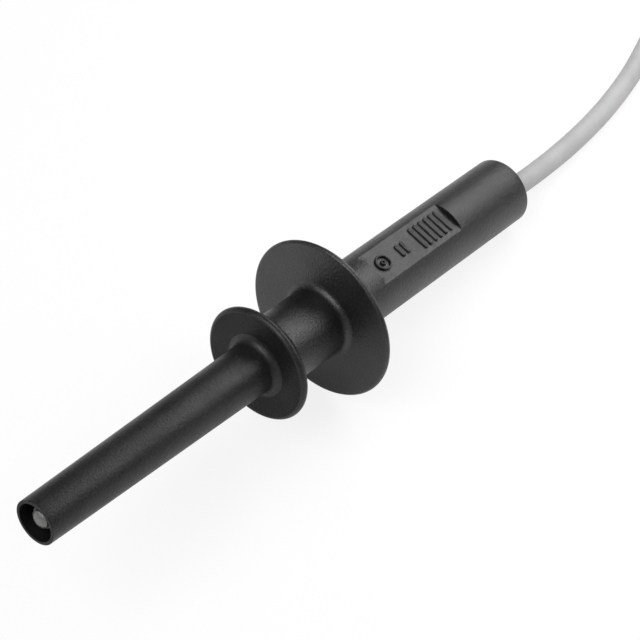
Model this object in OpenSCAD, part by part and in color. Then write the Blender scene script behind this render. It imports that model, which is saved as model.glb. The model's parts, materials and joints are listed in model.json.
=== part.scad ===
/* [Probe body] */
// Mouth of the front tube to the middle of the front guard
tube_length = 78.2; // [70:0.1:94]
// Middle of the front guard to the middle of the main guard
guard_spacing = 24.7; // [22:0.1:30]
// Middle of the main guard to the rear end of the grip
grip_length = 77.6; // [76:0.1:94]
// Diameter of the grip and the neck
grip_d = 19; // [18.4:0.1:23]
// Rounding of the grip's rear edge
rear_edge_r = 0.7; // [0.3:0.1:2]
// Rounding of the neck's front edge
neck_edge_r = 0.4; // [0.1:0.1:1]
// Diameter of the bore in the neck
neck_bore_d = 15.4; // [15.2:0.1:16]
// Width of the shoulder between the chamber and the rear bore
shoulder_w = 0.7; // [0.4:0.1:1.1]
// Thickness of the web across the grip
web_t = 4; // [3:0.1:5]

/* [Guard discs] */
// Diameter of the main guard
guard_d = 45; // [37:0.5:54]
// Thickness of the main guard
guard_t = 1.6; // [1.2:0.1:2.4]
// Fillet where the neck meets the main guard
guard_fillet = 2; // [0.5:0.1:3]
// Diameter of the front guard
front_guard_d = 32; // [26:0.5:38]
// Thickness of the front guard
front_guard_t = 2.4; // [1.6:0.1:3]
// Fillet where the tube meets the front guard
front_fillet = 2; // [0.5:0.1:3]

/* [Marking flat] */
// Main guard to the front end of the flat
flat_offset = 16.6; // [12:0.1:20]
// Length of the flat
flat_length = 32.5; // [20:0.5:39]
// Depth of the flat at its middle
flat_depth = 1.5; // [0.8:0.1:1.6]
// Lean of the flat to one side, in degrees
flat_lean = 15; // [-45:1:45]

/* [Front sleeve] */
// Outer diameter at the mouth
mouth_d = 12.2; // [11.6:0.1:13]
// Outer diameter at the front guard
tube_end_d = 14; // [13.2:0.1:16.8]
// Wall at the mouth
mouth_wall = 0.95; // [0.7:0.05:1.2]
// Rounding of the mouth's outer edge
mouth_edge_r = 0.15; // [0.1:0.05:0.4]
// Depth of the open cavity behind the mouth
cavity_depth = 16; // [10:0.5:20]
// Length of the guide that runs on the insulator
guide_length = 10; // [6:0.5:14]
// Diameter of the relief bore behind the guide
relief_d = 8.4; // [7.4:0.1:9]
// Diameter of the threaded socket for the inner sleeve
socket_d = 9.6; // [9.2:0.1:10.4]
// Length of that socket, in front of the guard's rear face
socket_length = 13; // [8:0.5:18]
// Travel of the sleeve
travel = 4; // [3:0.1:5]

/* [Inner sleeve and spring] */
// Diameter of the inner sleeve's shank
shank_d = 12; // [11.4:0.1:12.6]
// Bore through the inner sleeve
shank_bore_d = 7.2; // [6.6:0.1:7.8]
// Thickness of the collar on the shank
collar_t = 3; // [2:0.1:4]
// Length of the bush in the neck's mouth
bush_length = 4; // [3:0.1:6]
// Length of the return spring at rest
spring_length = 26; // [24:0.5:30]
// Mean diameter of the spring's coils
spring_d = 11; // [9:0.1:12.5]
// Diameter of the spring wire
wire_d = 0.9; // [0.7:0.05:1.1]
// Number of turns, the two closed ones included
spring_turns = 8; // [6:1:9]
// Thickness of the seat ring
seat_t = 2; // [1.5:0.1:3]

/* [Contact] */
// Diameter of the contact tip's head
tip_d = 4.8; // [3.8:0.1:5.2]
// Mouth to the crown of the tip
tip_recess = 0.7; // [0.4:0.05:1.2]
// Height of the tip's crown
tip_crown = 0.9; // [0.2:0.05:1.1]
// Diameter of the tip's threaded stem
stem_d = 2.4; // [1.8:0.1:2.8]
// Length of that stem
stem_length = 5; // [3:0.5:8]
// Diameter of the contact rod
rod_d = 4; // [3.4:0.1:4.4]
// Outer diameter of the rod's insulator
insulator_d = 5.9; // [5.2:0.1:6.4]
// Mouth to the insulator's front end
insulator_recess = 2.4; // [1.8:0.1:4]
// Room between the insulator's flange and the chamber
flange_room = 0.5; // [0.1:0.1:1]
// Thickness of the insulator's flange
flange_t = 2; // [1.5:0.1:3]
// Thickness of the lock washer
washer_t = 0.8; // [0.5:0.1:1.2]
// Diameter of the lock washer
washer_d = 7.6; // [6.6:0.1:9]
// Width of the rod's nut across its corners
nut_d = 8; // [7:0.1:10]
// Thickness of the rod's nut
nut_t = 3; // [2:0.1:4]

/* [Lead and cable entry] */
// Diameter of the lead
lead_d = 6; // [5.5:0.1:6.2]
// Diameter of one strand of its conductor
strand_d = 0.6; // [0.4:0.05:0.65]
// Diameter of the crimp barrel
barrel_d = 6.8; // [5.8:0.1:8]
// Length of the crimp barrel
barrel_length = 17; // [14:0.5:18]
// Depth of the barrel's socket on the rod
barrel_socket = 6; // [4:0.5:6.5]
// Depth of the two crimp grooves
crimp_depth = 0.4; // [0.2:0.05:0.6]
// Width of a crimp groove, and of the land beside it
crimp_width = 1.25; // [0.8:0.05:1.4]
// Diameter of the barrel's sight hole
sight_d = 1; // [0.6:0.1:1.5]
// Rear end of the grip to the front end of the lead
lead_start = 27.6; // [26:0.1:28]
// Rear end of the grip to the clamp's shoulder
clamp_start = 23.5; // [20:0.5:24]
// Length of the clamp
clamp_length = 9; // [7:0.5:12]
// Thickness of the clamp's flange
clamp_flange_t = 2; // [1.5:0.1:3]
// Length of the clamp's fingers that stays joined, next to the flange
finger_root = 1; // [0.5:0.1:2]
// How much the clamp's fingers narrow towards their ends, on each side
finger_taper = 0.7; // [0.3:0.1:1.2]
// Width of the slots between the fingers
finger_slot = 0.8; // [0.5:0.1:1.2]
// Room round the lead in the cap's outlet
outlet_room = 1.6; // [1.4:0.1:2]
// Rounding of the outlet's outer edge
outlet_edge_r = 1; // [0.4:0.1:1.2]
// Wall of the cap inside the seal's groove and round the clamp's fingers
cap_wall = 0.74; // [0.6:0.02:1]
// Width of the cap's flange outside the rear bore
cap_lip = 1.1; // [0.6:0.1:1.4]
// Thickness of the cap's flange
cap_flange_t = 2; // [1.5:0.1:3]
// Diameter of the seal ring's section
seal_d = 1; // [0.8:0.1:1.2]

/* [Plug] */
// Diameter of the contact pin
pin_d = 4; // [3.8:0.1:4.2]
// Length of the pin in front of the grip
pin_length = 17; // [14:0.5:19]
// Diameter of the pin's shank in the grip
pin_shank_d = 4.8; // [4.4:0.1:6]
// Depth of that shank in the grip
pin_depth = 12; // [8:0.5:16]
// Length of the pin's shoulder in front of the grip
shoulder_length = 1.5; // [0.5:0.1:2]
// Room for the spring cage to yield over the pin's core
cage_room = 0.15; // [0.05:0.05:0.3]
// Length of the spring cage
cage_length = 12; // [8:0.5:12.5]
// Wall of the spring cage
cage_wall = 0.35; // [0.2:0.05:0.4]
// Length of the cage's closed band at each end
cage_band = 1.5; // [1:0.1:2.5]
// Number of slots in the spring cage
cage_slots = 8; // [6:1:10]
// Width of one slot
cage_slot = 0.3; // [0.2:0.05:0.35]
// Outer diameter of the rigid shroud
shroud_d = 10; // [9.6:0.1:11]
// Inner diameter of the rigid shroud
shroud_bore_d = 8; // [7.6:0.1:8.4]
// Length of the shroud in front of the grip
shroud_length = 20; // [18:0.5:24]
// Depth of the shroud in the grip
shroud_depth = 6; // [4:0.5:8]
// Thickness of the shroud's floor
shroud_floor_t = 3; // [2:0.1:3.6]
// Rounding of the shroud's front edge
shroud_edge_r = 0.6; // [0.2:0.1:0.8]
// Diameter of the plug's grip
plug_d = 12.6; // [12:0.1:14]
// Length of the plug's grip
plug_length = 30; // [26:0.5:36]
// Rounding of the grip's two ends
plug_edge_r = 1.5; // [0.5:0.1:1.8]
// Number of grooves round the grip
groove_count = 6; // [3:1:8]
// Radius of a groove's section
groove_r = 0.9; // [0.5:0.05:1]
// Height of that section's centre above the grip
groove_lift = 0.35; // [0.1:0.05:0.6]
// Plain length left at each end of the grooves
groove_margin = 4; // [3:0.5:6]
// Length of the strain relief behind the grip
relief_length = 16; // [12:0.5:20]
// Diameter of the strain relief at its thin end
relief_thin_d = 8.4; // [7.8:0.1:9]
// Diameter of the strain relief at the grip
relief_thick_d = 10.4; // [9.6:0.1:11.4]
// Number of grooves round the strain relief
relief_grooves = 4; // [2:1:5]
// Radius of those grooves' section
relief_groove_r = 0.7; // [0.4:0.05:0.9]
// Height of that section's centre above the relief
relief_groove_lift = 0.2; // [0:0.05:0.4]

/* [Hank] */
// Distance between the centres of the two end loops
hank_span = 70; // [60:1:80]
// Width of the hank over its end loops
hank_width = 48; // [44:1:50]
// Width of the hank where the tie gathers it
hank_waist = 24; // [24:1:26]
// Height of the stacked turns
hank_height = 18; // [18:1:20]
// Thickness of the tie's strap
tie_t = 1.4; // [1:0.1:2]
// Width of the tie's strap
tie_w = 12; // [8:0.5:16]
// Length of the strap's end that hangs down one side, over the first layer
tie_lap = 9; // [6:0.5:11]
// Thickness of that end
tie_lap_t = 1; // [0.6:0.1:1.2]

/* [Fits] */
// Radial gap of a sliding fit
slide_gap = 0.05; // [0.02:0.01:0.1]
// Radial gap of a fixed fit
fixed_gap = 0.03; // [0.01:0.01:0.05]
// Gap between a moving collar and its stop
stop_gap = 0.05; // [0.02:0.01:0.1]
// Room left behind the front guard at the end of its travel
guard_room = 0.2; // [0.1:0.05:0.5]

/* [Hidden] */
$fn = 96;
eps = 0.01;

// Places along the probe, from the mouth
guard_s = tube_length + guard_spacing;
probe_length = guard_s + grip_length;
front_guard_rear = tube_length + front_guard_t / 2;
neck_s = front_guard_rear + travel + guard_room;
collar_s = neck_s + bush_length + stop_gap;
seat_s = collar_s + collar_t + spring_length;
web_s = seat_s + seat_t;
flange_s = web_s + web_t;
washer_s = flange_s + flange_t;
nut_s = washer_s + washer_t;
barrel_s = nut_s + nut_t;
barrel_end = barrel_s + barrel_length;
rod_end = barrel_s + barrel_socket;
clamp_s = probe_length - clamp_start;
cap_s = clamp_s + clamp_flange_t;
clamp_end = clamp_s + clamp_length;
lead_s = probe_length - lead_start;
flat_s = guard_s + flat_offset;
seal_s = probe_length - cap_flange_t - seal_d;

// Seven strands side by side
conductor_d = 3 * strand_d;

// Bores of the grip's rear end, from the lead outwards
outlet_d = lead_d + 2 * outlet_room;
rear_bore_d = outlet_d + 2 * (cap_wall + seal_d + 2 * fixed_gap);
chamber_d = rear_bore_d - 2 * shoulder_w;
flange_d = chamber_d - 2 * flange_room;
finger_d = rear_bore_d - 2 * (cap_wall + 2 * fixed_gap);
finger_end_d = finger_d - 2 * finger_taper;
cap_flange_d = rear_bore_d + 2 * cap_lip;

// How the probe lies: on the main guard's rim and the grip's rear edge
rim_r = guard_d / 2 - guard_t / 2;
edge_r = grip_d / 2 - rear_edge_r;
edge_run = probe_length - rear_edge_r - guard_s;
rest_tilt = atan2(rim_r - edge_r, edge_run)
  + asin((guard_t / 2 - rear_edge_r) / norm([edge_run, rim_r - edge_r]));
rest_height = guard_s * sin(rest_tilt) + rim_r * cos(rest_tilt) + guard_t / 2;
low_x = (mouth_edge_r - mouth_d / 2) * sin(rest_tilt) + mouth_edge_r * (cos(rest_tilt) - 1);
high_x = (probe_length - rear_edge_r) * cos(rest_tilt) + edge_r * sin(rest_tilt) + rear_edge_r;
rest_middle = (low_x + high_x) / 2;

// Steps of the swept wire and lead
WIRE_SIDES = 6;
WIRE_STEPS = 14;
LEAD_SIDES = 10;

// Route of the lead from its clamp to the hank, and from the hank to the plug
RUN_ROUTE = [
  [61.6, 0, 13.8], [70, 0, 12.4], [79, -0.3, 10.7], [86, -1, 9], [94, -1.4, 7.5], [103, -1.4, 6],
  [112, -1.2, 4.6], [121, -0.8, 3.5], [130, -0.3, 3], [139, 0.4, 3], [148, 1.7, 3], [157, 3.5, 3],
  [166, 6, 3], [176, 9.2, 3], [187, 13, 3], [198, 17, 3]
];
TAIL_ROUTE = [
  [203, -9, 16], [200, -1, 18.5], [201.5, 7, 21.5], [207, 13, 24.5], [214, 14.8, 26.5], [221, 13.8, 27.2],
  [236, 8.9, 27.2]
];

// Middle of the hank, with its long way along the probe
HANK_X = 250;
WAIST_STEPS = 20;
LOOP_STEPS = 18;

// Two turns lie side by side, so the hank's edge is one and a half leads outside the inner turn's middle
turns_w = 1.5 * lead_d;
lane_waist = hank_waist / 2 - turns_w;
lane_swell = (hank_width - hank_waist) / 2;

// Place and heading of the plug, which lies across the tie
PLUG_AT = [221, 13.8, 27.2];
PLUG_TURN = -18;
grip_s = relief_length;
shroud_s = grip_s + plug_length;
shoulder_s = shroud_s + shoulder_length;
shroud_rear = shroud_s - shroud_depth;
shroud_floor_s = shroud_rear + shroud_floor_t;

module resting() {
  translate([-rest_middle, 0, rest_height])
    rotate([0, rest_tilt, 0])
      rotate([flat_lean, 0, 0])
        children();
}

module along_x() {
  rotate([0, 90, 0]) children();
}

// Turns an outline drawn as [radius, place along the axis]
module turned() {
  along_x() rotate_extrude() children();
}

module band(inner_r, outer_r, from_s, to_s) {
  translate([inner_r, from_s]) square([outer_r - inner_r, to_s - from_s]);
}

module disc_outline(disc_r, disc_s, disc_t) {
  band(0, disc_r - disc_t / 2, disc_s - disc_t / 2, disc_s + disc_t / 2);
  translate([disc_r - disc_t / 2, disc_s]) circle(d = disc_t);
}

// Fills the corner between a shaft and a face, on the side that way points to
module root_fillet(shaft_r, face_s, fillet_r, way) {
  difference() {
    translate([shaft_r - eps, way < 0 ? face_s - fillet_r : face_s]) square([fillet_r + eps, fillet_r]);
    translate([shaft_r + fillet_r, face_s + way * fillet_r]) circle(r = fillet_r);
  }
}

// What a rounded edge takes off a corner, on the side that way points to
module edge_cut(corner_r, corner_s, round_r, way) {
  difference() {
    translate([corner_r - round_r, way > 0 ? corner_s - round_r : corner_s - eps])
      square([round_r + eps, round_r + eps]);
    translate([corner_r - round_r, corner_s - way * round_r]) circle(r = round_r);
  }
}

module shell_outline() {
  difference() {
    union() {
      band(0, grip_d / 2, neck_s, probe_length);
      disc_outline(guard_d / 2, guard_s, guard_t);
      root_fillet(grip_d / 2, guard_s - guard_t / 2, guard_fillet, -1);
      root_fillet(grip_d / 2, guard_s + guard_t / 2, guard_fillet, 1);
    }
    edge_cut(grip_d / 2, probe_length, rear_edge_r, 1);
    edge_cut(grip_d / 2, neck_s, neck_edge_r, -1);
    band(0, neck_bore_d / 2, neck_s - eps, web_s);
    band(0, insulator_d / 2 + fixed_gap, web_s - eps, flange_s + eps);
    band(0, chamber_d / 2, flange_s, clamp_s + eps);
    band(0, rear_bore_d / 2, clamp_s, probe_length + eps);
    band(0, cap_flange_d / 2 + fixed_gap, probe_length - cap_flange_t, probe_length + eps);
  }
}

module handle_shell() {
  color("#232527") resting() difference() {
    turned() shell_outline();
    translate([flat_s, -grip_d / 2, grip_d / 2 - flat_depth]) cube([flat_length, grip_d, grip_d / 2]);
  }
}

module neck_bush() {
  color("#3a3d40") resting() turned()
    band(shank_d / 2 + slide_gap, neck_bore_d / 2 - fixed_gap, neck_s, neck_s + bush_length);
}

module sleeve_outline() {
  disc_front = tube_length - front_guard_t / 2;
  difference() {
    union() {
      polygon([
        [0, 0], [mouth_d / 2 - mouth_edge_r, 0], [mouth_d / 2, mouth_edge_r],
        [tube_end_d / 2, disc_front], [tube_end_d / 2, tube_length], [0, tube_length]
      ]);
      translate([mouth_d / 2 - mouth_edge_r, mouth_edge_r]) circle(r = mouth_edge_r);
      disc_outline(front_guard_d / 2, tube_length, front_guard_t);
      root_fillet(tube_end_d / 2, disc_front, front_fillet, -1);
    }
    band(0, mouth_d / 2 - mouth_wall, -eps, cavity_depth);
    band(0, insulator_d / 2 + slide_gap, 0, cavity_depth + guide_length + eps);
    band(0, relief_d / 2, cavity_depth + guide_length, front_guard_rear);
    band(0, socket_d / 2, front_guard_rear - socket_length, front_guard_rear + eps);
  }
}

module front_sleeve() {
  color("#1d1f21") resting() turned() sleeve_outline();
}

module inner_sleeve() {
  spigot_s = front_guard_rear - socket_length + guard_room;
  color("#46494c") resting() turned() difference() {
    union() {
      band(0, socket_d / 2 - fixed_gap, spigot_s, front_guard_rear + eps);
      band(0, shank_d / 2, front_guard_rear, collar_s + eps);
      band(0, neck_bore_d / 2 - slide_gap, collar_s, collar_s + collar_t);
    }
    band(0, shank_bore_d / 2, spigot_s - eps, collar_s + collar_t + eps);
  }
}

// Place along the spring after so many turns, closed at both ends
function spring_rise(turn, closed, pitch) =
  turn < 1 ? closed * turn
  : turn < spring_turns - 1 ? closed + pitch * (turn - 1)
  : closed + pitch * (spring_turns - 2) + closed * (turn - spring_turns + 1);

module return_spring() {
  // The closed turns lie almost wire on wire
  closed = 1.06 * wire_d;
  start = collar_s + collar_t + wire_d / 2 + stop_gap;
  rise = spring_length - wire_d - 2 * stop_gap;
  pitch = (rise - 2 * closed) / (spring_turns - 2);
  coil = [
    for (i = [0 : spring_turns * WIRE_STEPS])
      let (turn = i / WIRE_STEPS, angle = 360 * turn)
        [start + spring_rise(turn, closed, pitch), spring_d / 2 * cos(angle), spring_d / 2 * sin(angle)]
  ];
  color("silver") resting() swept(coil, wire_d / 2, WIRE_SIDES);
}

module spring_seat() {
  color("#5a5d60") resting() turned()
    band(insulator_d / 2 + fixed_gap, neck_bore_d / 2 - fixed_gap, seat_s, web_s);
}

module rod_insulator() {
  color("#4a4c4f") resting() turned() difference() {
    union() {
      band(0, insulator_d / 2, insulator_recess, flange_s + eps);
      band(0, flange_d / 2, flange_s, washer_s);
    }
    band(0, rod_d / 2 + fixed_gap, insulator_recess - eps, washer_s + eps);
  }
}

module contact_rod() {
  color("#b9a36a") resting() turned() difference() {
    band(0, rod_d / 2, insulator_recess, rod_end);
    band(0, stem_d / 2 + fixed_gap, insulator_recess - eps, insulator_recess + stem_length + fixed_gap);
  }
}

module contact_tip() {
  crown_r = (pow(tip_d / 2, 2) + pow(tip_crown, 2)) / (2 * tip_crown);
  color("#c9cbcc") resting() turned() {
    intersection() {
      band(0, tip_d / 2, tip_recess, insulator_recess);
      translate([0, tip_recess + crown_r]) circle(r = crown_r);
    }
    band(0, stem_d / 2, insulator_recess - eps, insulator_recess + stem_length);
  }
}

module lock_washer() {
  color("#9a9da0") resting() difference() {
    turned() band(rod_d / 2 + fixed_gap, washer_d / 2, washer_s, nut_s);
    translate([washer_s - eps, 0, -washer_t / 2]) cube([washer_t + 2 * eps, washer_d, washer_t]);
  }
}

module rod_nut() {
  color("#b9a36a") resting() translate([nut_s, 0, 0]) along_x() difference() {
    cylinder(d = nut_d, h = nut_t, $fn = 6);
    translate([0, 0, -eps]) cylinder(r = rod_d / 2 + fixed_gap, h = nut_t + 2 * eps);
  }
}

module crimp_barrel() {
  color("#a8abad") resting() difference() {
    turned() difference() {
      band(0, barrel_d / 2, barrel_s, barrel_end);
      band(0, rod_d / 2 + fixed_gap, barrel_s - eps, rod_end + fixed_gap);
      band(0, conductor_d / 2 + fixed_gap, barrel_end - barrel_socket, barrel_end + eps);
      for (groove_s = [barrel_end - 4 * crimp_width, barrel_end - 2 * crimp_width])
        band(barrel_d / 2 - crimp_depth, barrel_d, groove_s, groove_s + crimp_width);
    }
    translate([rod_end + 1.5 * sight_d, 0, -barrel_d]) cylinder(d = sight_d, h = 2 * barrel_d);
  }
}

// A bundle of seven straight strands along the axis
module strands(from_s, to_s) {
  translate([from_s, 0, 0]) along_x() {
    cylinder(d = strand_d - eps, h = to_s - from_s);
    for (turn = [0 : 60 : 300])
      rotate(turn) translate([strand_d, 0, 0]) cylinder(d = strand_d - eps, h = to_s - from_s);
  }
}

module lead_conductor() {
  color("#b87333") resting() strands(barrel_end - barrel_socket, lead_s);
}

module clamp_collet() {
  color("#6b6e70") resting() difference() {
    turned() difference() {
      union() {
        band(0, rear_bore_d / 2 - fixed_gap, clamp_s, cap_s);
        polygon([
          [0, cap_s - eps], [finger_d / 2, cap_s - eps], [finger_d / 2, cap_s],
          [finger_end_d / 2, clamp_end], [0, clamp_end]
        ]);
      }
      band(0, lead_d / 2 + fixed_gap, clamp_s - eps, clamp_end + eps);
    }
    for (turn = [0, 90])
      rotate([turn, 0, 0])
        translate([cap_s + finger_root, -finger_slot / 2, -finger_d])
          cube([clamp_length, finger_slot, 2 * finger_d]);
  }
}

module seal_ring() {
  color("#101112") resting() turned()
    translate([(rear_bore_d - seal_d) / 2 - fixed_gap, seal_s]) circle(d = seal_d);
}

module end_cap() {
  cone_room = 0.5;
  cone_r = finger_d / 2 + fixed_gap;
  cone_end_r = finger_end_d / 2 + fixed_gap;
  color("#232527") resting() turned() difference() {
    union() {
      band(0, rear_bore_d / 2 - fixed_gap, cap_s + eps, probe_length);
      band(0, cap_flange_d / 2, probe_length - cap_flange_t, probe_length);
    }
    polygon([
      [0, cap_s], [cone_r, cap_s], [cone_end_r, clamp_end],
      [cone_end_r, clamp_end + cone_room], [0, clamp_end + cone_room]
    ]);
    band(0, outlet_d / 2, clamp_end, probe_length + eps);
    difference() {
      band(0, outlet_d / 2 + outlet_edge_r, probe_length - outlet_edge_r, probe_length + eps);
      translate([outlet_d / 2 + outlet_edge_r, probe_length - outlet_edge_r]) circle(r = outlet_edge_r);
    }
    band(
      outlet_d / 2 + cap_wall, rear_bore_d,
      seal_s - seal_d / 2 - fixed_gap, seal_s + seal_d / 2 + fixed_gap
    );
  }
}

// Direction of a route at each of its points
function heading(route, i) =
  let (last = len(route) - 1, along = route[min(i + 1, last)] - route[max(i - 1, 0)]) along / norm(along);

// One ring of points round a route, square to it
function ring_at(route, i, tube_r, sides) =
  let (
    ahead = heading(route, i),
    upright = abs(ahead[2]) > 0.9 ? [1, 0, 0] : [0, 0, 1],
    across = cross(upright, ahead) / norm(cross(upright, ahead)),
    over = cross(ahead, across)
  ) [
    for (k = [0 : sides - 1])
      let (angle = 360 * k / sides) route[i] + tube_r * (cos(angle) * across + sin(angle) * over)
  ];

// One closed tube swept along a route
module swept(route, tube_r, sides) {
  last = len(route) - 1;
  points = [for (i = [0 : last]) each ring_at(route, i, tube_r, sides)];
  walls = [
    for (i = [0 : last - 1], k = [0 : sides - 1])
      let (a = i * sides + k, b = i * sides + (k + 1) % sides)
        each [[a, a + sides, b], [b, a + sides, b + sides]]
  ];
  near_end = [[for (k = [0 : sides - 1]) k]];
  far_end = [[for (k = [sides - 1 : -1 : 0]) last * sides + k]];
  polyhedron(points, concat(walls, near_end, far_end), convexity = 10);
}

module lead_run() {
  color("#bfc3c7") swept(RUN_ROUTE, lead_d / 2, LEAD_SIDES);
}

module lead_tail() {
  color("#bfc3c7") swept(TAIL_ROUTE, lead_d / 2, LEAD_SIDES);
}

// Half the width between the inner turns, at a place along the hank from its middle
function lane_half(x) = lane_waist + lane_swell * pow(sin(180 * x / hank_span), 2);

function lane_slope(x) = lane_swell * PI / hank_span * sin(360 * x / hank_span);

// The hank's edge there, square to the inner turns
function hank_edge(x) = [x, lane_half(x)] + turns_w * [-lane_slope(x), 1] / norm([lane_slope(x), 1]);

// Points round one end loop of the hank
function end_loop(centre_x, from_angle, to_angle) = [
  for (i = [0 : LOOP_STEPS])
    let (angle = from_angle + (to_angle - from_angle) * i / LOOP_STEPS)
      [centre_x + hank_width / 2 * cos(angle), hank_width / 2 * sin(angle)]
];

// Points along one side of the hank between its end loops
function waist_side(way) = [
  for (i = [1 : WAIST_STEPS - 1])
    way * hank_edge(hank_span * (i / WAIST_STEPS - 0.5))
];

module hank_outline() {
  polygon(concat(
    end_loop(hank_span / 2, 90, -90), waist_side(-1),
    end_loop(-hank_span / 2, 270, 90), waist_side(1)
  ));
}

module round_cornered(size, corner_r) {
  translate([corner_r, 0]) square([size[0] - 2 * corner_r, size[1]]);
  translate([0, corner_r]) square([size[0], size[1] - 2 * corner_r]);
  for (x = [corner_r, size[0] - corner_r], y = [corner_r, size[1] - corner_r])
    translate([x, y]) circle(r = corner_r);
}

// Section of the gathered turns across the waist, grown all round; its corners follow the outer turns
module gathered(grown) {
  translate([-hank_waist / 2 - grown, tie_t + fixed_gap - grown])
    round_cornered([hank_waist + 2 * grown, hank_height + 2 * grown], lead_d / 2 + grown);
}

// Stretches a section across the hank over the tie's width, and further by a margin
module over_waist(margin) {
  translate([-tie_w / 2 - margin, 0, 0]) rotate([90, 0, 90]) linear_extrude(tie_w + 2 * margin) children();
}

// The strap's second layer, filled: from the top over the corner and down one side
module lapped_end() {
  side_top = tie_t + hank_height - lead_d / 2;
  intersection() {
    gathered(fixed_gap + tie_t + tie_lap_t);
    translate([-hank_waist, side_top - tie_lap]) square([hank_waist / 2 + lead_d, hank_height]);
  }
}

module lead_hank() {
  color("#b4b8bc") translate([HANK_X, 0, 0]) difference() {
    linear_extrude(hank_height + tie_t) hank_outline();
    difference() {
      over_waist(0) translate([-hank_width / 2, -eps]) square([hank_width, hank_height + 2 * tie_t]);
      over_waist(eps) gathered(0);
    }
  }
}

// The strap round the hank's waist
module lead_tie() {
  color("#17181a") translate([HANK_X, 0, 0]) over_waist(0) difference() {
    union() {
      gathered(fixed_gap + tie_t);
      lapped_end();
    }
    gathered(fixed_gap);
  }
}

module at_plug() {
  translate(PLUG_AT) rotate([0, 0, PLUG_TURN]) children();
}

module plug_relief() {
  taper = (relief_thick_d - relief_thin_d) / 2;
  color("#141516") at_plug() turned() difference() {
    polygon([[0, 0], [relief_thin_d / 2, 0], [relief_thick_d / 2, grip_s], [0, grip_s]]);
    band(0, lead_d / 2 + fixed_gap, -eps, grip_s + eps);
    for (i = [1 : relief_grooves])
      let (part = i / (relief_grooves + 1))
        translate([relief_thin_d / 2 + taper * part + relief_groove_lift, grip_s * part])
          circle(r = relief_groove_r);
  }
}

module plug_grip() {
  groove_pitch = (plug_length - 2 * groove_margin) / groove_count;
  color("#17181a") at_plug() turned() difference() {
    band(0, plug_d / 2, grip_s + eps, shroud_s);
    edge_cut(plug_d / 2, grip_s + eps, plug_edge_r, -1);
    edge_cut(plug_d / 2, shroud_s, plug_edge_r, 1);
    for (i = [0 : groove_count - 1])
      translate([plug_d / 2 + groove_lift, grip_s + groove_margin + groove_pitch * (i + 0.5)])
        circle(r = groove_r);
    band(0, conductor_d / 2 + fixed_gap, grip_s, shroud_s);
    band(0, pin_shank_d / 2 + fixed_gap, shroud_s - pin_depth, shroud_s + eps);
    band(0, shroud_d / 2 + fixed_gap, shroud_rear, shroud_s + eps);
  }
}

module plug_shroud() {
  shroud_end = shroud_s + shroud_length;
  color("#1b1c1e") at_plug() turned() difference() {
    band(0, shroud_d / 2, shroud_rear, shroud_end);
    edge_cut(shroud_d / 2, shroud_end, shroud_edge_r, 1);
    band(0, pin_shank_d / 2 + fixed_gap, shroud_rear - eps, shroud_floor_s + eps);
    band(0, shroud_bore_d / 2, shroud_floor_s, shroud_end + eps);
  }
}

module plug_pin() {
  pin_end = shroud_s + pin_length;
  core_r = pin_d / 2 - cage_wall - cage_room;
  color("#c8b06a") at_plug() turned() {
    band(0, pin_shank_d / 2, shroud_s - pin_depth, shroud_floor_s);
    band(0, pin_d / 2, shroud_floor_s - eps, shoulder_s);
    band(0, core_r, shoulder_s - eps, pin_end);
    band(0, pin_d / 2, shoulder_s + cage_length + 2 * stop_gap, pin_end);
    translate([0, pin_end]) intersection() {
      circle(d = pin_d);
      band(0, pin_d, -eps, pin_d / 4);
    }
  }
}

module plug_cage() {
  cage_s = shoulder_s + stop_gap;
  color("#d9c27a") at_plug() difference() {
    turned() band(pin_d / 2 - cage_wall, pin_d / 2, cage_s, cage_s + cage_length);
    for (i = [0 : cage_slots - 1])
      rotate([360 * (i + 0.5) / cage_slots, 0, 0])
        translate([cage_s + cage_band, -cage_slot / 2, 0])
          cube([cage_length - 2 * cage_band, cage_slot, pin_d]);
  }
}

module plug_strands() {
  color("#b87333") at_plug() strands(grip_s, shroud_s - pin_depth);
}

handle_shell();
neck_bush();
front_sleeve();
inner_sleeve();
return_spring();
spring_seat();
rod_insulator();
contact_rod();
contact_tip();
lock_washer();
rod_nut();
crimp_barrel();
lead_conductor();
clamp_collet();
seal_ring();
end_cap();
lead_run();
lead_hank();
lead_tie();
lead_tail();
plug_relief();
plug_grip();
plug_shroud();
plug_pin();
plug_cage();
plug_strands();
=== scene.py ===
"""Looks of the guarded test probe, its lead and its plug, in the frame of the CAD model."""

import json
import math

import bpy
from mathutils import Matrix, Vector


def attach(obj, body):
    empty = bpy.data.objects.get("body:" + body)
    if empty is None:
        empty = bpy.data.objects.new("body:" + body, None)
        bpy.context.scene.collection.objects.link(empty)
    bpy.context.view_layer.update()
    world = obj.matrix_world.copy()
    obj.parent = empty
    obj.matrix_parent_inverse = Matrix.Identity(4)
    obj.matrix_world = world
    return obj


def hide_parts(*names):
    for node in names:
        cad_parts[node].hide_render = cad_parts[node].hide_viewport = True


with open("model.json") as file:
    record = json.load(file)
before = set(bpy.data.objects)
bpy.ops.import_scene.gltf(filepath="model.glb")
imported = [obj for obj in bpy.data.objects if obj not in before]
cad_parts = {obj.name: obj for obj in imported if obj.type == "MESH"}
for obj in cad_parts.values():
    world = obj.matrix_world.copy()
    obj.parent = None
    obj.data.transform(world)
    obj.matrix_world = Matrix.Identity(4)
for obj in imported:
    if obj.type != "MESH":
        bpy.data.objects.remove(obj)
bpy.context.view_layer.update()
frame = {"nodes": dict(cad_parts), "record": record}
scene = bpy.context.scene

# Sizes are in millimetres, and objects are in metres
MM = 0.001

# Places along the probe, from its mouth
FRONT_GUARD_S = 78.2
GUARD_S = 102.9
GRIP_END_S = 180.5
NECK_S = 83.6
WEB_S, FLANGE_S = 118.65, 122.65
CLAMP_S = 157.0
CAVITY_S, GUIDE_S = 16.0, 26.0
SOCKET_S = 66.4

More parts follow.
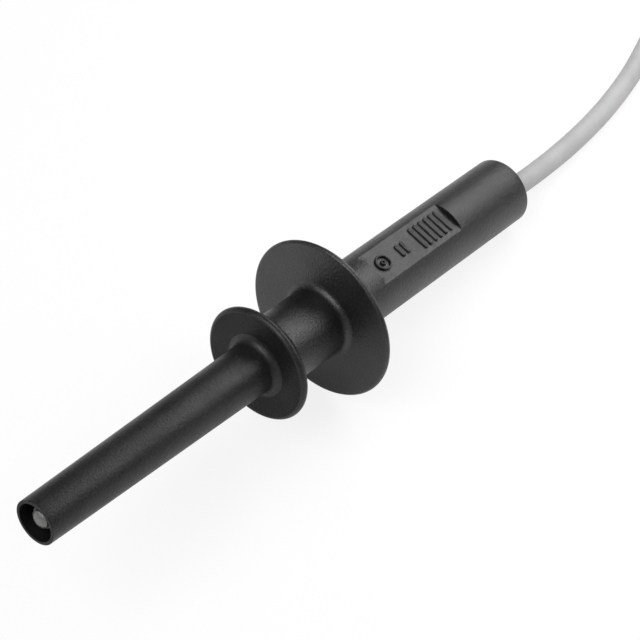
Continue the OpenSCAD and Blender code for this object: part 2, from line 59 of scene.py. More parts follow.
# The marking flat: its start, length, height over the axis, the run of its ends, and its lean to one side
FLAT_S, FLAT_LENGTH, FLAT_HEIGHT, FLAT_RAMP = 119.5, 32.5, 8.0, 0.3
FLAT_LEAN = math.radians(15)

# Diameters, thicknesses, fillets, edges and gaps
GRIP_D, GUARD_D, GUARD_T, GUARD_FILLET = 19.0, 45.0, 1.6, 2.0
FRONT_GUARD_D, FRONT_GUARD_T, FRONT_FILLET = 32.0, 2.4, 2.0
MOUTH_D, MOUTH_WALL, TUBE_END_D = 12.2, 0.95, 14.0
NECK_BORE_D, CHAMBER_D, REAR_BORE_D, CAP_RECESS_D = 15.4, 11.4, 12.8, 15.06
INSULATOR_D, RELIEF_D, SOCKET_D = 5.9, 8.4, 9.6
MOUTH_EDGE_R, MOUTH_LIP_R, NECK_EDGE_R, REAR_EDGE_R = 0.15, 0.12, 0.4, 0.7
NECK_CHAMFER, CAP_CHAMFER, CAP_FLANGE_T = 0.2, 0.15, 2.0
WEB_GAP, GUIDE_GAP = 0.03, 0.05


def resting():
    """How the probe lies: on the main guard's rim and the grip's rear edge, the flat a little to one side."""
    rim_r, edge_r = (GUARD_D - GUARD_T) / 2, GRIP_D / 2 - REAR_EDGE_R
    run = GRIP_END_S - REAR_EDGE_R - GUARD_S
    tilt = math.atan2(rim_r - edge_r, run)
    tilt += math.asin((GUARD_T / 2 - REAR_EDGE_R) / math.hypot(run, rim_r - edge_r))
    cos, sin = math.cos(tilt), math.sin(tilt)
    height = GUARD_S * sin + rim_r * cos + GUARD_T / 2
    low_x = (MOUTH_EDGE_R - MOUTH_D / 2) * sin + MOUTH_EDGE_R * (cos - 1)
    high_x = (GRIP_END_S - REAR_EDGE_R) * cos + edge_r * sin + REAR_EDGE_R
    return (
        Matrix.Translation(Vector((-(low_x + high_x) / 2, 0, height)) * MM)
        @ Matrix.Rotation(tilt, 4, "Y")
        @ Matrix.Rotation(FLAT_LEAN, 4, "X")
    )


PROBE = resting()

# The lead: 1.5 m of 6 mm silicone lead, folded behind the probe and tied; its length and exit in metres
LEAD_D, LEAD_LENGTH = 6.0, 1.5
# Points on its way from the probe to the hank, and from the hank to the plug
RUN_ROUTE = [
    (61.6, 0, 13.8), (70, 0, 12.4), (79, -0.3, 10.7), (86, -1, 9), (94, -1.4, 7.5), (103, -1.4, 6),
    (112, -1.2, 4.6), (121, -0.8, 3.5), (130, -0.3, 3), (139, 0.4, 3), (148, 1.7, 3), (157, 3.5, 3),
    (166, 6, 3), (176, 9.2, 3), (187, 13, 3), (198, 17, 3),
]
TAIL_ROUTE = [
    (203, -9, 16), (200, -1, 18.5), (201.5, 7, 21.5), (207, 13, 24.5), (214, 14.8, 26.5),
    (221, 13.8, 27.2), (236, 8.9, 27.2),
]
# The hank's middle, the run between its end loops, and the inner lane's half width at waist and loops
HANK_X, HANK_SPAN, HANK_WAIST, HANK_LOOP = 250.0, 70.0, 3.0, 15.0
# How many turns it has, and where on the near loop the lead comes in
HANK_TURNS, HANK_ENTRY = 4.82, math.radians(108)
# The tie's thickness, width and gap, and how far from its middle the lead starts to rise over it
TIE_T, TIE_W, TIE_GAP, TIE_LIFT_END = 1.4, 12.0, 0.03, 24.0
# Start, end and size of each move out or in by a lane, and up by a layer, in quarter turns of the hank
LANE_CHANGES = [(3.1, 3.88, -1), (9.6, 10.6, 1), (16.1, 17.0, -1)]
LAYER_CHANGES = [(6.0, 7.0, 1), (13.2, 14.2, 1)]
# The same for its rise at the end of the last turn, in millimetres
LAST_RISE = [(18.9, 19.3, 1.0)]
POINTS_PER_TURN, PATH_STEP, SMOOTHINGS = 40, 2.0, 4


# Camera

def make_camera():
    """The photograph's view, from the front left and above."""
    camera = bpy.data.objects.new("camera", bpy.data.cameras.new("camera"))
    camera.data.lens = 130.6
    camera.data.sensor_width = 36.0
    right = Vector((0.6536941, -0.7567589, 0.0))
    up = Vector((0.57669451, 0.49815311, 0.64751))
    back = right.cross(up)
    place = Vector((-0.282165, -0.253823, 0.478995))
    turn = Matrix((right, up, back)).transposed().to_4x4()
    camera.matrix_world = Matrix.Translation(place) @ turn
    scene.collection.objects.link(camera)
    scene.camera = camera


make_camera()


# The lead's path

def ease(start, end, x):
    """Runs smoothly from 0 at start to 1 at end."""
    t = min(max((x - start) / (end - start), 0.0), 1.0)
    return t * t * (3 - 2 * t)


def eased_sum(changes, x):
    """Adds up changes at x, each one eased in from its start to its end."""
    return sum(amount * ease(start, end, x) for start, end, amount in changes)


def inner_lane(turn):
    """Point and outward direction on the inner lane. A turn is one side, far loop, other side, near loop."""
    part, share = int(turn * 4) % 4, turn * 4 - int(turn * 4)
    if part in (1, 3):
        angle = (math.pi / 2 if part == 1 else 3 * math.pi / 2) - math.pi * share
        out = Vector((math.cos(angle), math.sin(angle), 0))
        centre = HANK_SPAN / 2 if part == 1 else -HANK_SPAN / 2
        return Vector((centre, 0, 0)) + HANK_LOOP * out, out
    way = 1 if part == 0 else -1
    x = way * HANK_SPAN * (share - 0.5)
    swell = HANK_LOOP - HANK_WAIST
    half = HANK_WAIST + swell * math.sin(math.pi * x / HANK_SPAN) ** 2
    slope = swell * math.pi / HANK_SPAN * math.sin(2 * math.pi * x / HANK_SPAN)
    return Vector((x, way * half, 0)), Vector((-slope, way, 0)).normalized()


def hank_point(turn):
    """The lead's middle line in the hank: two lanes side by side in each of three layers."""
    quarters = turn * 4
    lane = LEAD_D * (1 + eased_sum(LANE_CHANGES, quarters))
    height = LEAD_D * (0.5 + eased_sum(LAYER_CHANGES, quarters)) + eased_sum(LAST_RISE, quarters)
    point, out = inner_lane(turn)
    point = point + lane * out
    over_tie = (TIE_T + TIE_GAP) * (1 - ease(TIE_W / 2, TIE_LIFT_END, abs(point.x)))
    return Vector((HANK_X + point.x, point.y, height + over_tie))


def smooth_path(points):
    """Even points along a curve through the given ones, with its kinks eased."""
    points = [Vector(p) for p in points]
    dense = [points[0]]
    for i in range(len(points) - 1):
        p0, p1, p2 = points[max(i - 1, 0)], points[i], points[i + 1]
        p3 = points[min(i + 2, len(points) - 1)]
        steps = max(round((p2 - p1).length / PATH_STEP), 1)
        for k in range(1, steps + 1):
            t = k / steps
            dense.append(0.5 * (
                2 * p1 + (p2 - p0) * t + (2 * p0 - 5 * p1 + 4 * p2 - p3) * t * t
                + (3 * p1 - 3 * p2 + p3 - p0) * t ** 3
            ))
    for _ in range(SMOOTHINGS):
        dense = [dense[0]] + [
            (dense[i - 1] + 2 * dense[i] + dense[i + 1]) / 4 for i in range(1, len(dense) - 1)
        ] + [dense[-1]]
    return dense


def lead_path():
    """The lead's middle line from the probe, through the hank, to the plug."""
    outer = HANK_LOOP + LEAD_D
    near_loop = Vector((HANK_X - HANK_SPAN / 2, 0, LEAD_D / 2))
    entry = near_loop + outer * Vector((math.cos(HANK_ENTRY), math.sin(HANK_ENTRY), 0))
    turns = [hank_point(i / POINTS_PER_TURN) for i in range(int(HANK_TURNS * POINTS_PER_TURN) - 1)]
    return smooth_path(RUN_ROUTE + [entry] + turns + TAIL_ROUTE)


# Mesh tools

def add_piece(name, points, faces, sharp, matrix=None):
    """A mesh from points in millimetres, shaded smooth except over edges past a sharp angle in degrees."""
    place = matrix if matrix is not None else Matrix.Identity(4)
    mesh = bpy.data.meshes.new(name)
    mesh.from_pydata([tuple(place @ (Vector(p) * MM)) for p in points], [], faces)
    mesh.validate()
    mesh.polygons.foreach_set("use_smooth", [True] * len(mesh.polygons))
    mesh.set_sharp_from_angle(angle=math.radians(sharp))
    piece = bpy.data.objects.new(name, mesh)
    scene.collection.objects.link(piece)
    return piece


def arc(centre, radius, start, end, steps):
    """Points on an arc, in degrees, as (place along the axis, distance from it)."""
    return [
        (
            centre[0] + radius * math.cos(math.radians(start + (end - start) * i / steps)),
            centre[1] + radius * math.sin(math.radians(start + (end - start) * i / steps)),
        )
        for i in range(steps + 1)
    ]


def along(start, end, steps):
    """Points between two others, without the two."""
    return [
        (start[0] + (end[0] - start[0]) * i / steps, start[1] + (end[1] - start[1]) * i / steps)
        for i in range(1, steps)
    ]


def bridge(first, second, around):
    """Faces between two rings of points, each given by its first point's number."""
    faces = []
    for k in range(around):
        n = (k + 1) % around
        faces.append((first + k, first + n, second + n, second + k))
    return faces


def capped(rings, around):
    """Faces of a row of rings, with both ends closed."""
    faces = [face for i in range(rings - 1) for face in bridge(i * around, (i + 1) * around, around)]
    faces.append(tuple(reversed(range(around))))
    faces.append(tuple((rings - 1) * around + k for k in range(around)))
    return faces


def turned(name, outline, angles, matrix, sharp, reshape=None):
    """Turns a closed outline of (place along the axis, distance from it) round the axis; +Z is angle 0."""
    points, faces = [], []
    rings, around = len(outline), len(angles)
    for s, r in outline:
        for angle in angles:
            radius = reshape(s, r, angle) if reshape else r
            points.append((s, -radius * math.sin(angle), radius * math.cos(angle)))
    for i in range(rings):
        faces += bridge(i * around, (i + 1) % rings * around, around)
    return add_piece(name, points, faces, sharp, matrix)


def even_angles(count):
    """Angles all the way round, evenly."""
    return [2 * math.pi * i / count for i in range(count)]


def swept(name, path, radius, sides, sharp):
    """A closed tube along a path, with rings that don't twist."""
    points = []
    normal = Vector((0, 0, 1))
    last = len(path) - 1
    for i, at in enumerate(path):
        ahead = (path[min(i + 1, last)] - path[max(i - 1, 0)]).normalized()
        normal = (normal - normal.dot(ahead) * ahead).normalized()
        across = ahead.cross(normal)
        for angle in even_angles(sides):
            points.append(at + radius * (math.cos(angle) * normal + math.sin(angle) * across))
    return add_piece(name, points, capped(len(path), sides), sharp)


# Materials

# Most of a noise lies between these two values
NOISE_LOW, NOISE_HIGH = 0.3, 0.7


def math_node(tree, operation, *values):
    """A math node fed by sockets and numbers."""
    made = tree.nodes.new("ShaderNodeMath")
    made.operation = operation
    for socket, value in zip(made.inputs, values):
        if isinstance(value, bpy.types.NodeSocket):
            tree.links.new(value, socket)
        else:
            socket.default_value = value
    return made.outputs["Value"]


class Finish:
    """A node material on one Principled shader, in object space."""

    def __init__(self, name, colour, roughness, metallic=0.0, **sockets):
        self.material = bpy.data.materials.new(name)
        self.material.use_nodes = True
        self.tree = self.material.node_tree
        self.shader = self.tree.nodes["Principled BSDF"]
        self.shader.inputs["Base Color"].default_value = (*colour, 1)
        self.shader.inputs["Roughness"].default_value = roughness
        self.shader.inputs["Metallic"].default_value = metallic
        for socket, value in sockets.items():
            self.shader.inputs[socket.replace("_", " ")].default_value = value
        self.where = self.node("ShaderNodeTexCoord").outputs["Object"]
        self.normal = None

    def node(self, kind, **settings):
        """A node with its inputs or properties set by name."""
        made = self.tree.nodes.new(kind)
        for key, value in settings.items():
            if key in made.inputs:
                made.inputs[key].default_value = value
            else:
                setattr(made, key, value)
        return made

    def link(self, output, socket):
        self.tree.links.new(output, socket)

    def noise(self, scale, detail=3.0, roughness=0.5, stretch=None):
        """Noise over the object, squeezed along an axis where stretch says so."""
        made = self.node("ShaderNodeTexNoise", Scale=scale, Detail=detail, Roughness=roughness)
        where = self.where
        if stretch:
            mapping = self.node("ShaderNodeMapping")
            mapping.inputs["Scale"].default_value = stretch
            self.link(where, mapping.inputs["Vector"])
            where = mapping.outputs["Vector"]
        self.link(where, made.inputs["Vector"])
        return made.outputs["Fac"]

    def shade(self, value, dark, light, start=NOISE_LOW, end=NOISE_HIGH):
        """Base colour that runs between two colours."""
        ramp = self.node("ShaderNodeValToRGB")
        ramp.color_ramp.elements[0].position = start
        ramp.color_ramp.elements[1].position = end
        ramp.color_ramp.elements[0].color = (*dark, 1)
        ramp.color_ramp.elements[1].color = (*light, 1)
        self.link(value, ramp.inputs["Fac"])
        self.link(ramp.outputs["Color"], self.shader.inputs["Base Color"])

    def mixed(self, first, second, share):
        """Two texture values in one, with the second's share."""
        made = self.node("ShaderNodeMix")
        made.inputs["Factor"].default_value = share
        self.link(first, made.inputs["A"])
        self.link(second, made.inputs["B"])
        return made.outputs["Result"]

    def rough(self, value, low, high):
        """Roughness that runs between two limits."""
        made = self.node("ShaderNodeMapRange")
        made.inputs["From Min"].default_value = NOISE_LOW
        made.inputs["From Max"].default_value = NOISE_HIGH
        made.inputs["To Min"].default_value = low
        made.inputs["To Max"].default_value = high
        self.link(value, made.inputs["Value"])
        self.link(made.outputs["Result"], self.shader.inputs["Roughness"])

    def bump(self, value, distance):
        """Raises the surface by a texture value, over any bump that is there."""
        made = self.node("ShaderNodeBump", Strength=1.0, Distance=distance)
        self.link(value, made.inputs["Height"])
        if self.normal:
            self.link(self.normal, made.inputs["Normal"])
        self.normal = made.outputs["Normal"]
        self.link(self.normal, self.shader.inputs["Normal"])


def moulded(name, dark, light, low, high, grain=1700.0, depth=0.00016, gloss=0.5):
    """Moulded plastic with a fine sparked grain and a slow drift of sheen."""
    finish = Finish(name, light, (low + high) / 2, Specular_IOR_Level=gloss)
    speckle = finish.noise(grain, detail=3, roughness=0.7)
    drift = finish.noise(55, detail=4, roughness=0.6)
    film = finish.noise(130, detail=3)
    ripple = finish.noise(150, detail=2)
    finish.shade(finish.mixed(drift, speckle, 0.6), dark, light, start=0.35, end=0.65)
    finish.rough(finish.mixed(film, speckle, 0.5), low, high)
    finish.bump(speckle, depth)
    finish.bump(ripple, depth / 3)
    return finish.material


def metal(name, dark, light, low, high, stretch=None):
    """Turned or plated metal with fine tool marks and a dulled film."""
    finish = Finish(name, light, (low + high) / 2, metallic=1.0)
    film = finish.noise(220, detail=4, roughness=0.6)
    wear = finish.noise(700, detail=3)
    tool_marks = finish.noise(900, detail=2, stretch=stretch)
    finish.shade(film, dark, light)
    finish.rough(wear, low, high)
    finish.bump(tool_marks, 0.00001)
    return finish.material


def soft_rubber(name, dark, light, low, high):
    """Matt rubber with a fine bloom."""
    finish = Finish(name, light, (low + high) / 2)
    clouds = finish.noise(90, detail=5, roughness=0.65)
    bloom = finish.noise(320, detail=4)
    grain = finish.noise(1800, detail=3, roughness=0.6)
    finish.shade(clouds, dark, light)
    finish.rough(bloom, low, high)
    finish.bump(grain, 0.00002)
    return finish.material


# Squeezes tool marks into rings round a turned piece that lies about along X
TOOL_RINGS = (8, 1, 1)

# Each has a darkest and a lightest colour, then a lowest and a highest roughness.
# The front tube's plastic is less glossy than the shell's. A darker, less glossy black is painted shade on
# the end faces and the flat's rear end wall, and a near-black is painted shade inside the bore.
BLACK = moulded("body_black", (0.002, 0.002, 0.0021), (0.013, 0.0131, 0.0133), 0.28, 0.46, gloss=0.65)
BLACK_SLEEVE = moulded(
    "sleeve_black", (0.003, 0.003, 0.0031), (0.018, 0.0182, 0.0184), 0.3, 0.5, depth=0.00012, gloss=0.36
)
# Painted shade: a darker, less glossy black for the end faces and the flat's rear end wall
PAINTED_SHADE_BLACK = moulded("painted_shade_black", (0.002, 0.002, 0.0021), (0.012, 0.0122, 0.0124), 0.34, 0.5, gloss=0.16)
# Painted shade: a near-black for the inside seen through the mouth
PAINTED_SHADE_BORE = moulded("bore_painted_shade", (0.002, 0.002, 0.002), (0.004, 0.004, 0.004), 0.6, 0.75, gloss=0.15)
BLACK_PLUG = moulded("plug_black", (0.018, 0.018, 0.019), (0.028, 0.028, 0.029), 0.38, 0.52)
INNER = moulded("inner_plastic", (0.035, 0.036, 0.038), (0.05, 0.052, 0.055), 0.35, 0.45, grain=1800)
INSULATOR = moulded("insulator", (0.05, 0.05, 0.05), (0.075, 0.075, 0.074), 0.4, 0.5, grain=1500)
LEAD = soft_rubber("lead_silicone", (0.355, 0.355, 0.36), (0.41, 0.41, 0.41), 0.5, 0.66)
PLUG_RUBBER = soft_rubber("plug_rubber", (0.016, 0.016, 0.017), (0.028, 0.028, 0.028), 0.5, 0.65)
SEAL = soft_rubber("seal_rubber", (0.012, 0.012, 0.012), (0.02, 0.02, 0.02), 0.4, 0.55)
NICKEL = metal("nickel", (0.2, 0.2, 0.196), (0.28, 0.28, 0.274), 0.4, 0.55)
STEEL = metal("spring_steel", (0.42, 0.43, 0.44), (0.6, 0.61, 0.62), 0.25, 0.4)
BRASS = metal("brass", (0.55, 0.42, 0.2), (0.72, 0.57, 0.3), 0.25, 0.4, TOOL_RINGS)
TINNED = metal("tinned_metal", (0.48, 0.49, 0.5), (0.62, 0.63, 0.64), 0.35, 0.5)
COPPER = metal("copper", (0.55, 0.25, 0.13), (0.75, 0.38, 0.22), 0.3, 0.45)
CONTACT = metal("contact_metal", (0.62, 0.55, 0.38), (0.78, 0.72, 0.55), 0.2, 0.35, TOOL_RINGS)


def strap_material():
    """Woven strap: crossed ribs, darker between the threads."""
    finish = Finish("tie_strap", (0.03, 0.03, 0.031), 0.8, Sheen_Weight=0.25)
    threads = []
    for direction, scale in (("X", 900.0), ("DIAGONAL", 700.0)):
        wave = finish.node(
            "ShaderNodeTexWave", Scale=scale, Distortion=1.5, Detail=1.0, bands_direction=direction
        )
        finish.link(finish.where, wave.inputs["Vector"])
        threads.append(wave.outputs["Fac"])
    weave = math_node(finish.tree, "MULTIPLY", *threads)
    finish.shade(weave, (0.01, 0.01, 0.0105), (0.042, 0.042, 0.044), start=0.0, end=0.8)
    finish.bump(weave, 0.0002)
    return finish.material


STRAP = strap_material()

SLOTS = {
    "body_black": BLACK, "inner_plastic": INNER, "insulator": INSULATOR, "spring_steel": STEEL,
    "nickel": NICKEL, "brass": BRASS, "tinned_metal": TINNED, "copper": COPPER,
    "seal_rubber": SEAL, "lead_silicone": LEAD, "tie_strap": STRAP, "plug_rubber": PLUG_RUBBER,
    "plug_black": BLACK_PLUG, "contact_metal": CONTACT,
}


def finish_piece(piece, slot, body):
    """Gives a new piece its material and the body that it moves with."""
    piece.data.materials.clear()
    piece.data.materials.append(SLOTS[slot])
    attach(piece, body)


def coat_faces(piece, material, chosen):
    """Another material on the faces picked by their place along the probe and distance from its axis."""
    piece.data.materials.append(material)
    for face in piece.data.polygons:
        middle = PROBE.inverted() @ face.center / MM
        if chosen(middle.x, math.hypot(middle.y, middle.z)):
            face.material_index = len(piece.data.materials) - 1


# Every CAD node gets the material of its record slot
for part in frame["record"]["subparts"]:
    node = frame["nodes"][part["node"]]
    node.data.materials.clear()
    node.data.materials.append(SLOTS[part["material_slot"]])


# The lead

def make_lead():
    """The whole lead as one cord, with the plug and the tie on it."""
    path = lead_path()
    lead = swept("lead", path, LEAD_D / 2, sides=28, sharp=60)
    finish_piece(lead, "lead_silicone", "handle")
    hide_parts("lead_run", "lead_hank", "lead_tail")


make_lead()


# The moulded shell

def shell_outline():
    """Half the shell's section: outside from the neck to the rear end, and back along the bores."""
    grip_r, guard_r, rim_r = GRIP_D / 2, GUARD_D / 2, GUARD_T / 2
    front, rear = GUARD_S - GUARD_T / 2, GUARD_S + GUARD_T / 2
    ramp_parts = 8
    ramp_steps = [FLAT_RAMP * (i / ramp_parts - 0.5) for i in range(ramp_parts + 1)]
    ramp_down = [FLAT_S + step for step in ramp_steps]
    ramp_up = [FLAT_S + FLAT_LENGTH + step for step in ramp_steps]
    line = [(NECK_S, NECK_BORE_D / 2 + NECK_CHAMFER), (NECK_S, grip_r - NECK_EDGE_R)]
    line += arc((NECK_S + NECK_EDGE_R, grip_r - NECK_EDGE_R), NECK_EDGE_R, 180, 90, steps=5)
    line += along((NECK_S + NECK_EDGE_R, grip_r), (front - GUARD_FILLET, grip_r), steps=8)
    line += arc((front - GUARD_FILLET, grip_r + GUARD_FILLET), GUARD_FILLET, -90, 0, steps=12)
    line += along((front, grip_r + GUARD_FILLET), (front, guard_r - rim_r), steps=8)
    line += arc((GUARD_S, guard_r - rim_r), rim_r, 180, 0, steps=16)
    line += along((rear, guard_r - rim_r), (rear, grip_r + GUARD_FILLET), steps=8)
    line += arc((rear + GUARD_FILLET, grip_r + GUARD_FILLET), GUARD_FILLET, 180, 270, steps=12)
    line += along((rear + GUARD_FILLET, grip_r), (ramp_down[0], grip_r), steps=8)
    line += [(s, grip_r) for s in ramp_down]
    line += along((ramp_down[-1], grip_r), (ramp_up[0], grip_r), steps=16)
    line += [(s, grip_r) for s in ramp_up]
    line += along((ramp_up[-1], grip_r), (GRIP_END_S - REAR_EDGE_R, grip_r), steps=12)
    line += arc((GRIP_END_S - REAR_EDGE_R, grip_r - REAR_EDGE_R), REAR_EDGE_R, 90, 0, steps=8)
    recess_s, web_hole_r = GRIP_END_S - CAP_FLANGE_T, INSULATOR_D / 2 + WEB_GAP
    line += [
        (GRIP_END_S, CAP_RECESS_D / 2 + CAP_CHAMFER), (GRIP_END_S - CAP_CHAMFER, CAP_RECESS_D / 2),
        (recess_s, CAP_RECESS_D / 2), (recess_s, REAR_BORE_D / 2),
        (CLAMP_S, REAR_BORE_D / 2), (CLAMP_S, CHAMBER_D / 2),
        (FLANGE_S, CHAMBER_D / 2), (FLANGE_S, web_hole_r),
        (WEB_S, web_hole_r), (WEB_S, NECK_BORE_D / 2),
        (NECK_S + NECK_CHAMFER, NECK_BORE_D / 2),
    ]
    return line


def flat_depth(s, r, angle):
    """Lowers the shell's skin onto the marking flat, with slightly eased edges."""
    grip_r, ramp, flat_end = GRIP_D / 2, FLAT_RAMP / 2, FLAT_S + FLAT_LENGTH
    # How near a point on the skin has to be, how far the edges are eased, and an angle past the flat
    exact, soft, widest = 1e-6, 0.06, math.radians(60)
    inside = ease(FLAT_S - ramp, FLAT_S + ramp, s) * (1 - ease(flat_end - ramp, flat_end + ramp, s))
    on_skin, faces_flat = abs(r - grip_r) < exact, math.cos(angle) > math.cos(widest)
    if not (on_skin and faces_flat and inside):
        return r
    flat = FLAT_HEIGHT / math.cos(angle)
    gap = max(soft - abs(flat - grip_r), 0) / soft
    lowered = min(flat, grip_r) - gap * gap * soft / 4
    return r - inside * (r - lowered)


def shell_angles():
    """Even round the grip, closer together near the flat's long edges."""
    edge = math.acos(FLAT_HEIGHT / (GRIP_D / 2))
    fine_step, fine_count, coarse_count = math.radians(0.35), 6, 240
    clear = fine_step * (fine_count + 0.8)
    angles = set()
    for side in (-1, 1):
        angles.update(round(side * edge + fine_step * i, 6) for i in range(-fine_count, fine_count + 1))
    for angle in even_angles(coarse_count):
        angle = (angle + math.pi) % (2 * math.pi) - math.pi
        if all(abs(angle - side * edge) > clear for side in (-1, 1)):
            angles.add(round(angle, 6))
    return sorted(angles)


def flat_end_wall(s, r):
    """The step up at the flat's rear end, which gets painted shade."""
    margin = 0.05
    return abs(s - FLAT_S - FLAT_LENGTH) < FLAT_RAMP / 2 and r < GRIP_D / 2 - margin


def make_shell():
    """Neck, main guard and grip in one, with the marking flat."""
    shell = turned("grip_shell", shell_outline(), shell_angles(), PROBE, sharp=40, reshape=flat_depth)
    finish_piece(shell, "body_black", "handle")
    # Painted shade on the flat's rear end wall, in a darker, less glossy black
    coat_faces(shell, PAINTED_SHADE_BLACK, flat_end_wall)
    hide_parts("handle_shell")


make_shell()


# The sliding front tube

def tube_outline():
    """Half the tube's section: round the mouth's edge, along the outside, over the guard, and back inside."""
    mouth_r, end_r, edge = MOUTH_D / 2, TUBE_END_D / 2, MOUTH_EDGE_R
    guard_r, rim_r = FRONT_GUARD_D / 2, FRONT_GUARD_T / 2
    front, rear = FRONT_GUARD_S - rim_r, FRONT_GUARD_S + rim_r
    cavity_r, guide_r = mouth_r - MOUTH_WALL, INSULATOR_D / 2 + GUIDE_GAP
    line = arc((MOUTH_LIP_R, cavity_r + MOUTH_LIP_R), MOUTH_LIP_R, 270, 180, steps=3)
    line += arc((edge, mouth_r - edge), edge, 180, 90, steps=6)
    root = (front - FRONT_FILLET, end_r)
    line += along((edge, mouth_r), root, steps=30)
    line += arc((front - FRONT_FILLET, end_r + FRONT_FILLET), FRONT_FILLET, -90, 0, steps=12)
    line += along((front, end_r + FRONT_FILLET), (front, guard_r - rim_r), steps=6)
    line += arc((FRONT_GUARD_S, guard_r - rim_r), rim_r, 180, 0, steps=18)
    line += along((rear, guard_r - rim_r), (rear, SOCKET_D / 2), steps=10)
    line += [
        (rear, SOCKET_D / 2), (SOCKET_S, SOCKET_D / 2), (SOCKET_S, RELIEF_D / 2),
        (GUIDE_S, RELIEF_D / 2), (GUIDE_S, guide_r), (CAVITY_S, guide_r), (CAVITY_S, cavity_r),
    ]
    return line


def bore_wall(s, r):
    """The inside that is seen through the mouth, which gets painted shade."""
    margin = 0.05
    return r < MOUTH_D / 2 - MOUTH_WALL + margin and s < GUIDE_S


def painted_shade_ends(s, r):
    """The mouth's end face and the flat front face of the guard, which get painted shade."""
    near = 0.01
    on_mouth = s < near
    on_guard = abs(s - FRONT_GUARD_S + FRONT_GUARD_T / 2) < near and r > TUBE_END_D / 2 + FRONT_FILLET
    return on_mouth or on_guard


def make_tube():
    """The tapered tube with its guard, in its own plastic under the shell's slot."""
    tube = turned("front_tube", tube_outline(), even_angles(192), PROBE, sharp=40)
    finish_piece(tube, "body_black", "sleeve")
    tube.data.materials[0] = BLACK_SLEEVE
    # Painted shade: near-black inside the bore seen through the mouth
    coat_faces(tube, PAINTED_SHADE_BORE, bore_wall)
    # Painted shade on the mouth's end face and the guard's front face, in a darker, less glossy black
    coat_faces(tube, PAINTED_SHADE_BLACK, painted_shade_ends)
    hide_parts("front_sleeve")


make_tube()


# Plain relief on the marking flat, with its places measured from the flat's front end

RELIEF_HEIGHT, RELIEF_SUNK = 0.65, 0.2
RING_AT, RING_R, RING_W, STUD_R = 4.6, 2.1, 0.6, 0.55
PAIR_AT, PAIR_LENGTH, LADDER_AT, LADDER_LENGTH = 11.6, 4.0, 19.2, 7.4
BAR_PITCH, BAR_W = 2.15, 1.05


def flat_place(at):
    """A point on the flat's middle line, with +Z away from the flat."""
    return PROBE @ Matrix.Translation(Vector((FLAT_S + at, 0, FLAT_HEIGHT)) * MM)


def raised_ring(name, at, radius, width):
    """A low ring with a rounded top."""
    shoulder, half = RELIEF_HEIGHT - width / 3, width / 2
    outline = [(-RELIEF_SUNK, radius - half)]
    outline += arc((shoulder, radius), half, -90, 90, steps=8)
    outline += [(-RELIEF_SUNK, radius + half)]
    upright = Matrix.Rotation(-math.pi / 2, 4, "Y")
    return turned(name, outline, even_angles(48), flat_place(at) @ upright, sharp=50)


def raised_bar(name, at, length):
    """A low bar across the flat, with round ends and a rounded top."""
    points, around = [], 24
    # Height over the flat, and share of the full width there
    levels = [
        (-RELIEF_SUNK, 1.0), (RELIEF_HEIGHT * 0.55, 1.0), (RELIEF_HEIGHT * 0.85, 0.8), (RELIEF_HEIGHT, 0.45),
    ]
    for z, share in levels:
        for angle in even_angles(around):
            shift = (length - BAR_W) / 2 * (1 if math.sin(angle) >= 0 else -1)
            reach = BAR_W / 2 * share
            points.append((reach * math.cos(angle), reach * math.sin(angle) + shift, z))
    return add_piece(name, points, capped(len(levels), around), sharp=60, matrix=flat_place(at))


def bar_row(name, count, first_at, length):
    """Bars side by side along the flat."""
    return [raised_bar(f"{name}_{i + 1}", first_at + BAR_PITCH * i, length) for i in range(count)]


def make_relief():
    """A ring with a dimpled stud in its middle, two short bars and a ladder of six long ones."""
    pieces = [
        raised_ring("mould_ring", RING_AT, RING_R, RING_W),
        raised_ring("mould_stud", RING_AT, STUD_R, STUD_R),
    ]
    pieces += bar_row("short_bar", count=2, first_at=PAIR_AT, length=PAIR_LENGTH)
    pieces += bar_row("grip_bar", count=6, first_at=LADDER_AT, length=LADDER_LENGTH)
    for piece in pieces:
        finish_piece(piece, "body_black", "handle")


make_relief()


# Floor and light

ROOM_LIGHT = 0.18
# The floor's half width, and how far it lies below the object, in metres
FLOOR_SIZE, FLOOR_DROP = 3.0, 0.0002
# How much of the floor's white is its own, as the camera and as reflections see it
FLOOR_SEEN, FLOOR_REFLECTED = 0.85, 0.4
# Each lamp's place, what it is aimed at and its size in metres, and its power in watts
LAMPS = {
    "key": ((-0.62, 0.1, 0.92), (0, 0, 0), (0.7, 0.7), 9.0),
    "softbox": ((0.24, -0.06, 0.23), (0.06, 0, 0.02), (0.42, 0.15), 0.9),
}


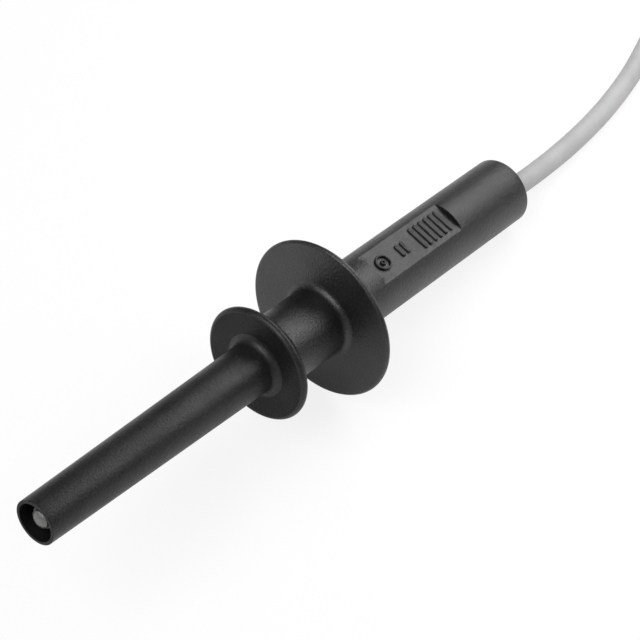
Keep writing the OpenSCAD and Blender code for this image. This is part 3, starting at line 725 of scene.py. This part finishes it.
def make_stage():
    """A matt white floor, part of its white its own, which keeps the object's shadow."""
    mesh = bpy.data.meshes.new("floor")
    corners = [(-1, -1), (1, -1), (1, 1), (-1, 1)]
    mesh.from_pydata([(FLOOR_SIZE * x, FLOOR_SIZE * y, 0) for x, y in corners], [], [(0, 1, 2, 3)])
    floor = bpy.data.objects.new("floor", mesh)
    floor.location.z = -FLOOR_DROP
    scene.collection.objects.link(floor)
    material = bpy.data.materials.new("floor")
    material.use_nodes = True
    tree = material.node_tree
    plain = tree.nodes["Principled BSDF"]
    plain.inputs["Base Color"].default_value = (0.9, 0.9, 0.9, 1)
    plain.inputs["Roughness"].default_value = 0.9
    plain.inputs["Specular IOR Level"].default_value = 0.1
    glow = tree.nodes.new("ShaderNodeEmission")
    glow.inputs["Color"].default_value = (1, 1, 1, 1)
    mix = tree.nodes.new("ShaderNodeMixShader")
    rays = tree.nodes.new("ShaderNodeLightPath").outputs
    mirrored = math_node(tree, "MAXIMUM", rays["Is Glossy Ray"], rays["Is Transmission Ray"])
    reflected = math_node(tree, "MULTIPLY", mirrored, FLOOR_REFLECTED)
    share = math_node(tree, "MULTIPLY_ADD", rays["Is Camera Ray"], FLOOR_SEEN, reflected)
    tree.links.new(share, mix.inputs["Fac"])
    tree.links.new(plain.outputs[0], mix.inputs[1])
    tree.links.new(glow.outputs[0], mix.inputs[2])
    tree.links.new(mix.outputs[0], tree.nodes["Material Output"].inputs["Surface"])
    floor.data.materials.append(material)


def area_lamp(name, at, towards, size, power):
    """A rectangular lamp that faces a point."""
    light = bpy.data.lights.new(name, "AREA")
    light.shape = "RECTANGLE"
    light.size, light.size_y = size
    light.energy = power
    lamp = bpy.data.objects.new(name, light)
    lamp.location = at
    lamp.rotation_euler = (Vector(towards) - Vector(at)).to_track_quat("-Z", "Y").to_euler()
    scene.collection.objects.link(lamp)


def make_light():
    """A dim even room, a high key lamp at the front left and a softbox beyond the grip."""
    world = bpy.data.worlds.new("studio")
    world.use_nodes = True
    scene.world = world
    world.node_tree.nodes["Background"].inputs["Color"].default_value = (1, 1, 1, 1)
    world.node_tree.nodes["Background"].inputs["Strength"].default_value = ROOM_LIGHT
    for name, setting in LAMPS.items():
        area_lamp(name, *setting)
    scene.view_settings.view_transform = "Standard"


make_stage()
make_light()
